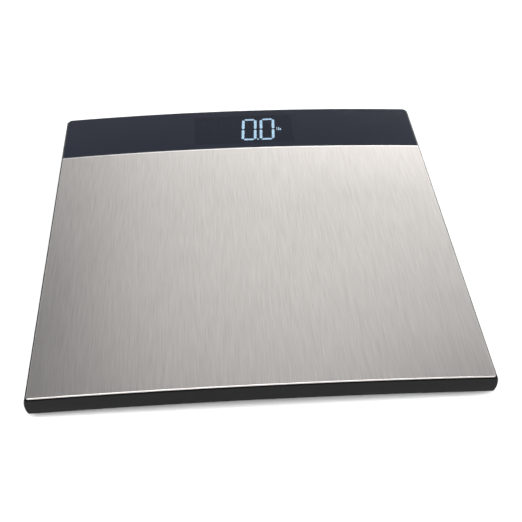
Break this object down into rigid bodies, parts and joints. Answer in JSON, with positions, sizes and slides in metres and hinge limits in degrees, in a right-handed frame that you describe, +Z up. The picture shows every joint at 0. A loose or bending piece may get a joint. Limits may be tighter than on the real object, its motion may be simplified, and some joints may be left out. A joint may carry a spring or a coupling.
{
  "type": "digital bathroom scale",
  "caption": "Low rectangular bathroom scale with an arched steel deck, a dark display strip along the back, a sinking platform, corner load cells and a battery door underneath.",
  "frame": {"origin": "on the floor, under the middle of the scale", "axes": "+X to the user's right, +Y from the user towards the display strip, +Z up"},
  "size_m": [0.3024, 0.331, 0.0229],
  "materials": {
    "brushed_steel_deck": "fine grain from front to back",
    "adhesive": "dull film",
    "smoked_lens": "glossy smoked plastic",
    "black_mask": "matte",
    "frame_plastic": "moulded matte",
    "zinc_steel": "zinc plated",
    "screw_steel": "zinc plated",
    "tray_plastic": "fine moulded texture",
    "gauge_film": "amber film",
    "circuit_board": "solder mask",
    "chip_plastic": "moulded",
    "component_body": "moulded",
    "display_glass": "polished",
    "holder_plastic": "moulded white",
    "light_guide": "translucent white",
    "contact_rubber": "striped silicone",
    "switch_metal": "tinned can",
    "button_plastic": "moulded",
    "battery_jacket": "printed sleeve without lettering",
    "nickel_plate": "nickel plated",
    "lead_sleeve": "insulation",
    "label_film": "blank film",
    "foot_rubber": "matte",
    "cell_steel": "stamped spring steel",
    "retainer_plastic": "moulded"
  },
  "bodies": {
    "base": {"backlight_leds": "light_guide", "backlight_panel": "light_guide", "base_tray": "tray_plastic", "battery_1": "battery_jacket", "battery_2": "battery_jacket", "battery_contacts": "nickel_plate", "battery_leads": "lead_sleeve", "battery_springs": "nickel_plate", "board_components": "component_body", "board_screws": "screw_steel", "cell_lead_back_left": "lead_sleeve", "cell_lead_back_right": "lead_sleeve", "cell_lead_front_left": "lead_sleeve", "cell_lead_front_right": "lead_sleeve", "cell_retainer_back_left": "retainer_plastic", "cell_retainer_back_right": "retainer_plastic", "cell_retainer_front_left": "retainer_plastic", "cell_retainer_front_right": "retainer_plastic", "controller_chip": "chip_plastic", "foot_pad_back_left": "foot_rubber", "foot_pad_back_right": "foot_rubber", "foot_pad_front_left": "foot_rubber", "foot_pad_front_right": "foot_rubber", "lcd_frame": "holder_plastic", "lcd_panel": "display_glass", "load_cell_back_left": "cell_steel", "load_cell_back_right": "cell_steel", "load_cell_front_left": "cell_steel", "load_cell_front_right": "cell_steel", "main_board": "circuit_board", "rating_label": "label_film", "retainer_screws": "screw_steel", "strain_gauges": "gauge_film", "unit_switch": "switch_metal", "zebra_strips": "contact_rubber"},
    "platform": {"steel_deck": "brushed_steel_deck", "deck_adhesive": "adhesive", "display_lens": "smoked_lens", "lens_tape": "black_mask", "platform_frame": "frame_plastic", "front_stiffener": "zinc_steel", "rear_stiffener": "zinc_steel", "platform_screws": "screw_steel", "load_button_front_left": "button_plastic", "load_button_front_right": "button_plastic", "load_button_back_left": "button_plastic", "load_button_back_right": "button_plastic"},
    "battery_door": {"battery_door": "tray_plastic"},
    "unit_button": {"unit_button": "button_plastic", "switch_plunger": "chip_plastic"}
  },
  "joints": [
    {"name": "platform_travel", "type": "slide", "parent": "base", "child": "platform", "axis": [0, 0, 1], "range_m": [-0.0007, 0], "stiffness_N_per_m": 2100000, "deforming": ["load_cell_front_left", "load_cell_front_right", "load_cell_back_left", "load_cell_back_right"]},
    {"name": "battery_door_hinge", "type": "hinge", "parent": "base", "child": "battery_door", "pos_m": [0, 0.06695, 0.00785], "axis": [1, 0, 0], "range_deg": [0, 95]},
    {"name": "unit_button_press", "type": "slide", "parent": "base", "child": "unit_button", "axis": [0, 0, 1], "range_m": [0, 0.0003], "stiffness_N_per_m": 3000}
  ]
}
